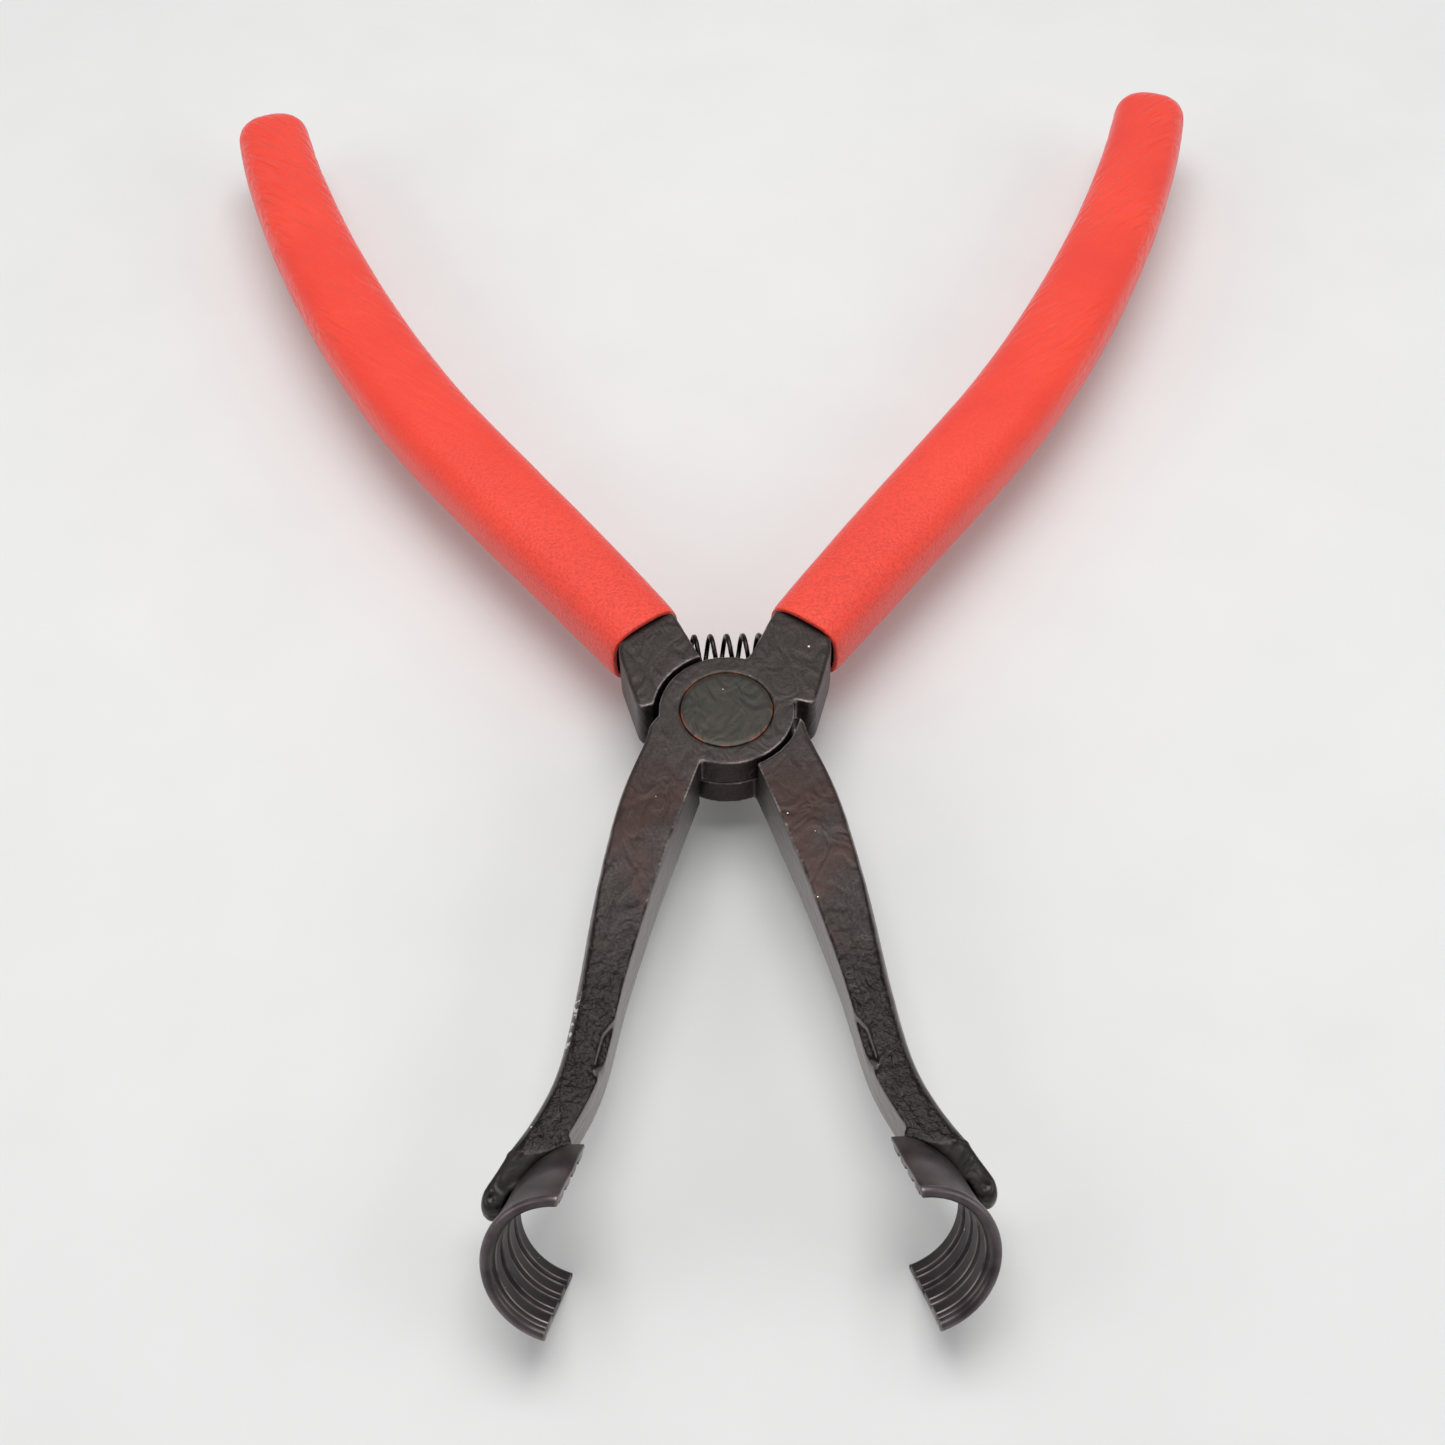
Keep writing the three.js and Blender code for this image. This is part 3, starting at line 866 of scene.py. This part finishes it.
def bump_of(tree, height, strength, depth, under=None):
    """The normal from a height, on top of another normal."""
    inputs = {"Height": height, "Strength": strength, "Distance": depth}
    if under:
        inputs["Normal"] = under
    return add_node(tree, "ShaderNodeBump", inputs).outputs["Normal"]


# %% [markdown]
# ### Blackened forged steel
#
# Black oxide on a forging is a thin magnetite layer, sealed with oil. It is dark and satin, and it
# isn't even: the flat faces near the pivot have faint flow lines, with pale streaks painted along
# them as highlights, and a brown tint, and the dented skin of the lower arms is blacker and
# glossier. The arms' sides are painted paler as a reflection of the floor and their rounded outer
# edges as a highlight, edges wear towards bare metal and carry painted highlights, and small
# nicks shine. Each of these is one mask over the dark base.

# %% Blackened steel
def nicks(tree, place, cell, size, share):
    """A bright spot in a share of the cells of a loose pattern."""
    cells = add_node(tree, "ShaderNodeTexVoronoi", {"Vector": place, "Scale": 1 / cell})
    spot = math_of(tree, "LESS_THAN", cells.outputs["Distance"], size / cell)
    lucky = add_node(tree, "ShaderNodeSeparateXYZ", {"Vector": cells.outputs["Color"]})
    return times(tree, spot, math_of(tree, "GREATER_THAN", lucky.outputs["X"], 1 - share))


def blackened_steel():
    """Satin black oxide over forged steel."""
    material, tree, place = new_finish("black_oxide_forged_steel")
    axes = add_node(tree, "ShaderNodeSeparateXYZ", {"Vector": place})
    along = axes.outputs["Y"]
    facing = add_node(tree, "ShaderNodeTexCoord").outputs["Normal"]
    facing = add_node(tree, "ShaderNodeSeparateXYZ", {"Vector": facing})
    upward = math_of(tree, "ABSOLUTE", facing.outputs["Z"])
    outward = math_of(tree, "MULTIPLY", facing.outputs["X"], axes.outputs["X"])
    flat = add_node(tree, "ShaderNodeVectorMath", {0: place, 1: (1, 1, 0)}, operation="MULTIPLY")
    from_pivot = add_node(tree, "ShaderNodeVectorMath", {0: flat.outputs[0]}, operation="LENGTH")
    from_pivot = from_pivot.outputs["Value"]
    clouds = noise_of(tree, place, 14 * MM, 3.0)
    grain = noise_of(tree, place, 0.5 * MM, 4.0)
    patches = noise_of(tree, place, 4 * MM)
    # The base: charcoal near the pivot, a little green on the boss, blacker on the lower arms.
    upper_tone = ramp_of(tree, grain, (0.3, linear("#312b2a")), (0.7, linear("#443d3b")))
    lower_tone = ramp_of(tree, grain, (0.3, linear("#100e0d")), (0.7, linear("#25201f")))
    lower = band(tree, along, -8 * MM, -62 * MM)
    colour = mix_colour(tree, lower, upper_tone, lower_tone)
    boss = band(tree, from_pivot, 13 * MM, 6 * MM)
    colour = mix_colour(tree, times(tree, boss, 0.7), colour, linear("#3c3b35"))
    # Brown tint, in clouds along the upper arms.
    tint = times(tree, band(tree, along, -54 * MM, -42 * MM), band(tree, along, -6 * MM, -20 * MM))
    tint = times(tree, tint, band(tree, clouds, 0.42, 0.58), 0.7)
    colour = mix_colour(tree, tint, colour, linear("#3d2c28"))
    # Flow lines: thin pale contours, painted as streaky highlights, where a slow noise, drawn out
    # along the tool, passes through its middle.
    drawn = add_node(tree, "ShaderNodeVectorMath", {0: place, 1: (1, 0.6, 1)}, operation="MULTIPLY")
    slow = noise_of(tree, drawn.outputs[0], 4.5 * MM, 1.0, 1.9)
    from_middle = math_of(tree, "ABSOLUTE", math_of(tree, "SUBTRACT", slow, 0.5))
    painted_flow_highlight = times(tree, band(tree, from_middle, 0.022, 0.002), band(tree, patches, 0.4, 0.6))
    colour = mix_colour(tree, times(tree, painted_flow_highlight, 0.1), colour, linear("#6d6863"))
    # Rust in the ring round the rivet.
    ring = math_of(tree, "COMPARE", from_pivot, 8.5 * MM, 0.28 * MM)
    rust = times(tree, ring, band(tree, patches, 0.43, 0.57), 0.85)
    colour = mix_colour(tree, rust, colour, linear("#7d4b38"))
    # The sides of the arms are painted paler, as a reflection of the bright floor, and the rounded
    # outer edges as a highlight; both are also smoother.
    inner = math_of(tree, "LESS_THAN", outward, 0.0)
    steep = math_of(tree, "MULTIPLY_ADD", inner, 0.22, upward)
    side = times(tree, band(tree, steep, 0.965, 0.75), band(tree, along, -12 * MM, -20 * MM))
    rounded = add_node(tree, "ShaderNodeAttribute", attribute_name="rounded_edge").outputs["Fac"]
    side = math_of(tree, "MAXIMUM", side, times(tree, rounded, 0.6))
    side = times(tree, side, band(tree, along, -88 * MM, -83 * MM))
    colour = mix_colour(tree, times(tree, side, 0.8), colour, linear("#8f8787"))
    # Wear and painted edge highlights: the skin is painted lighter where it bends sharply, both as
    # worn metal and as the thin highlights along crisp edges.
    bend = add_node(tree, "ShaderNodeAttribute", attribute_name="edge_bend").outputs["Fac"]
    wear_and_edge_highlight = times(tree, band(tree, bend, 0.12, 0.34), band(tree, patches, 0.3, 0.62), 0.65)
    wear_and_edge_highlight = times(tree, wear_and_edge_highlight, band(tree, from_pivot, 8.7 * MM, 9.2 * MM))
    wear_and_edge_highlight = times(tree, wear_and_edge_highlight, band(tree, lower, 1.15, 0.2))
    colour = mix_colour(tree, wear_and_edge_highlight, colour, linear("#b3aaa5"))
    # One rub: the outer edge of the left arm has bright broken metal part of the way down.
    rub = times(tree, band(tree, along, -57 * MM, -60 * MM), band(tree, along, -70 * MM, -67 * MM))
    from_edge = math_of(tree, "MULTIPLY_ADD", along, -0.2, axes.outputs["X"])
    rub = times(tree, rub, band(tree, from_edge, -13.7 * MM, -13.9 * MM))
    rub = times(tree, rub, band(tree, from_edge, -14.8 * MM, -14.5 * MM))
    rub = times(tree, rub, band(tree, axes.outputs["Z"], 9.0 * MM, 9.6 * MM))
    rub = times(tree, rub, band(tree, noise_of(tree, place, 1.1 * MM, 3.0), 0.5, 0.54))
    nick = nicks(tree, place, 5.5 * MM, 0.2 * MM, 0.3)
    nick = math_of(tree, "MAXIMUM", nick, nicks(tree, place, 3.1 * MM, 0.1 * MM, 0.3))
    bright = math_of(tree, "MAXIMUM", nick, rub)
    colour = mix_colour(tree, bright, colour, linear("#ded6d0"))
    # The tongue is smooth again, and a little paler.
    tongue = band(tree, along, -85.5 * MM, -88 * MM)
    colour = mix_colour(tree, times(tree, tongue, 0.6), colour, linear("#3d3a38"))
    # Flat faces have long soft waves; the whole skin has a fine grain.
    normal = bump_of(tree, slow, 0.55, 0.5 * MM)
    ripples = noise_of(tree, place, 0.85 * MM, 2.0, 0.6)
    rippled = times(tree, band(tree, along, -42 * MM, -60 * MM), band(tree, side, 0.6, 0.1))
    rippled = times(tree, rippled, band(tree, tongue, 1.0, 0.3))
    normal = bump_of(tree, ripples, rippled, 0.2 * MM, normal)
    normal = bump_of(tree, grain, 0.3, 0.06 * MM, normal)
    gloss = ramp_of(tree, clouds, (0.3, grey(0.38)), (0.7, grey(0.5)))
    gloss = mix_colour(tree, math_of(tree, "MAXIMUM", side, lower), gloss, grey(0.32))
    shader = add_node(
        tree,
        "ShaderNodeBsdfPrincipled",
        {"Base Color": colour, "Metallic": 0.8, "Roughness": gloss, "Normal": normal},
    )
    add_node(tree, "ShaderNodeOutputMaterial", {"Surface": shader.outputs["BSDF"]})
    return material


steel_finish = blackened_steel()

# %% [markdown]
# ### Blackened tube
#
# The jaws have a smoother skin than the forging, as drawn tube would, so the same oxide is made
# paler and more purple on them. The ribbed inside is painted darker, as the shade in the hollow,
# and the rib edges are painted paler, as rubbed metal and as highlights.

# %% Blackened tube
def blackened_tube():
    """Satin black oxide over drawn steel tube."""
    material, tree, place = new_finish("black_oxide_drawn_tube")
    grain = noise_of(tree, place, 0.4 * MM, 3.0)
    clouds = noise_of(tree, place, 6 * MM, 3.0)
    colour = ramp_of(tree, clouds, (0.35, linear("#50474b")), (0.65, linear("#675e61")))
    bend = add_node(tree, "ShaderNodeAttribute", attribute_name="edge_bend").outputs["Fac"]
    # Painted shade: the ribbed inside of the half tube is darkened, as the shade in its hollow.
    inside = add_node(tree, "ShaderNodeAttribute", attribute_name="inside_wall").outputs["Fac"]
    colour = mix_colour(tree, times(tree, inside, 0.8), colour, linear("#2a2426"))
    # Wear and painted highlights: sharply bent rib and rim edges are painted paler.
    wear_and_edge_highlight = times(tree, band(tree, bend, 0.1, 0.4), band(tree, clouds, 0.3, 0.6), 0.3)
    colour = mix_colour(tree, wear_and_edge_highlight, colour, linear("#b9afad"))
    colour = mix_colour(tree, nicks(tree, place, 4 * MM, 0.14 * MM, 0.25), colour, linear("#ded6d0"))
    normal = bump_of(tree, grain, 0.25, 0.04 * MM)
    shader = add_node(
        tree,
        "ShaderNodeBsdfPrincipled",
        {"Base Color": colour, "Metallic": 0.85, "Roughness": 0.36, "Normal": normal},
    )
    add_node(tree, "ShaderNodeOutputMaterial", {"Surface": shader.outputs["BSDF"]})
    return material


tube_finish = blackened_tube()

# %% [markdown]
# ### Spring wire
#
# Music wire drawn through a die and blackened in oil is smoother and glossier than the forging.
# It has faint draw lines and darker and lighter patches, and little else.

# %% Spring wire
def spring_wire():
    """Oil-blackened drawn wire."""
    material, tree, place = new_finish("oil_blackened_spring_wire")
    patches = noise_of(tree, place, 2 * MM)
    colour = ramp_of(tree, patches, (0.35, linear("#1d1b1b")), (0.7, linear("#3b3634")))
    normal = bump_of(tree, noise_of(tree, place, 0.25 * MM, 1.0), 0.15, 0.02 * MM)
    shader = add_node(
        tree,
        "ShaderNodeBsdfPrincipled",
        {"Base Color": colour, "Metallic": 0.9, "Roughness": 0.3, "Normal": normal},
    )
    add_node(tree, "ShaderNodeOutputMaterial", {"Surface": shader.outputs["BSDF"]})
    return material


wire_finish = spring_wire()

# %% [markdown]
# ### Dipped vinyl
#
# Plastisol is a soft PVC, coloured right through, with a fine orange-peel grain from curing. The
# grain is strongest near the mouth, where the dip ran thin, and the tone drifts a little along
# the handle. It is satin, so pale surroundings wash out its edges.

# %% Vinyl
def dipped_vinyl():
    """Satin red-orange plastisol."""
    material, tree, place = new_finish("dipped_plastisol_vinyl")
    axes = add_node(tree, "ShaderNodeSeparateXYZ", {"Vector": place})
    drift = noise_of(tree, place, 18 * MM)
    peel = noise_of(tree, place, 0.55 * MM, 3.0)
    tone = ramp_of(tree, drift, (0.3, linear("#e12e15")), (0.7, linear("#ec3919")))
    speckle = ramp_of(tree, peel, (0.36, linear("#b21e08")), (0.56, linear("#ec3a19")))
    along = axes.outputs["Y"]
    near_mouth = band(tree, along, 95 * MM, 25 * MM)
    speckled = math_of(tree, "MULTIPLY_ADD", near_mouth, 0.35, 0.08)
    colour = mix_colour(tree, speckled, tone, speckle)
    # Wrinkles run across the upper part at a slant, mirrored on the two grips.
    folded = add_node(tree, "ShaderNodeVectorMath", {0: place}, operation="ABSOLUTE")
    slanted = add_node(
        tree,
        "ShaderNodeMapping",
        {"Vector": folded.outputs[0], "Rotation": (0, 0, math.radians(40)), "Scale": (7, 1, 1)},
        vector_type="TEXTURE",
    )
    wrinkles = noise_of(tree, slanted.outputs["Vector"], 1.5 * MM, 1.0, 0.5)
    wrinkled = times(tree, band(tree, along, 55 * MM, 105 * MM), band(tree, drift, 0.35, 0.6))
    normal = bump_of(tree, wrinkles, wrinkled, 0.8 * MM)
    grainy = math_of(tree, "MULTIPLY_ADD", near_mouth, 0.85, 0.15)
    normal = bump_of(tree, peel, grainy, 0.3 * MM, normal)
    shader = add_node(
        tree,
        "ShaderNodeBsdfPrincipled",
        {
            "Base Color": colour,
            "Sheen Weight": 0.4,
            "Sheen Tint": linear("#ffc0c8"),
            "Roughness": 0.45,
            "IOR": 1.52,
            "Normal": normal,
        },
    )
    add_node(tree, "ShaderNodeOutputMaterial", {"Surface": shader.outputs["BSDF"]})
    return material


vinyl_finish = dipped_vinyl()

# %% Put each finish on its pieces
steel_pieces = [front_half, back_half, rivet, *welds]
for piece in steel_pieces:
    piece.data.materials.append(steel_finish)
for piece in (cup_left, cup_right):
    piece.data.materials.append(tube_finish)
spring.data.materials.append(wire_finish)
for piece in (grip_right, grip_left):
    piece.data.materials.append(vinyl_finish)
print("finishes on", len(steel_pieces) + 5, "pieces")

# %% [markdown]
# ## Floor and light
#
# The tool lies on a plain pale floor under soft studio light: one large panel over the pivot, a
# weaker one on each side, and a bright room all round, which lights the steel's side faces; their
# pale grey is also painted into the steel finish as a reflection.

# %% Floor
floor_height = CAD_BOX[0][2] - 0.3 * MM
floor_mesh = bmesh.new()
bmesh.ops.create_grid(floor_mesh, x_segments=1, y_segments=1, size=3)
bmesh.ops.translate(floor_mesh, vec=(0, 0, floor_height), verts=floor_mesh.verts)
floor_data = bpy.data.meshes.new("floor")
floor_mesh.to_mesh(floor_data)
floor_mesh.free()
floor = bpy.data.objects.new("floor", floor_data)
bpy.context.scene.collection.objects.link(floor)

floor_paper, paper_tree, paper_place = new_finish("pale_studio_paper")
fibres = add_node(
    paper_tree, "ShaderNodeTexNoise", {"Vector": paper_place, "Scale": 40.0, "Detail": 4.0}
)
paper_tone = ramp_of(
    paper_tree, fibres.outputs["Fac"], (0.3, linear("#dadad9")), (0.7, linear("#dddddc"))
)
paper_shader = add_node(
    paper_tree, "ShaderNodeBsdfPrincipled", {"Base Color": paper_tone, "Roughness": 0.9}
)
add_node(paper_tree, "ShaderNodeOutputMaterial", {"Surface": paper_shader.outputs["BSDF"]})
floor_data.materials.append(floor_paper)

# %% Lights
def soft_panel(name, at, size, power):
    """A square area light aimed at the pivot."""
    data = bpy.data.lights.new(name, "AREA")
    data.shape = "SQUARE"
    data.size = size
    data.energy = power
    lamp = bpy.data.objects.new(name, data)
    bpy.context.scene.collection.objects.link(lamp)
    lamp.location = at
    toward = PIVOT_FRONT - Vector(at)
    lamp.rotation_euler = toward.to_track_quat("-Z", "Y").to_euler()
    return lamp


soft_panel("panel_over", (0.0, 0.12, 0.75), 0.6, 4.2)
soft_panel("panel_left", (-0.8, -0.25, 0.5), 0.5, 1.5)
soft_panel("panel_right", (0.8, -0.25, 0.5), 0.5, 1.5)

room = bpy.data.worlds.new("studio_room")
room.use_nodes = True
room.node_tree.nodes["Background"].inputs["Color"].default_value = linear("#f4f5f6")
room.node_tree.nodes["Background"].inputs["Strength"].default_value = 0.5
bpy.context.scene.world = room
bpy.context.scene.view_settings.view_transform = "Standard"
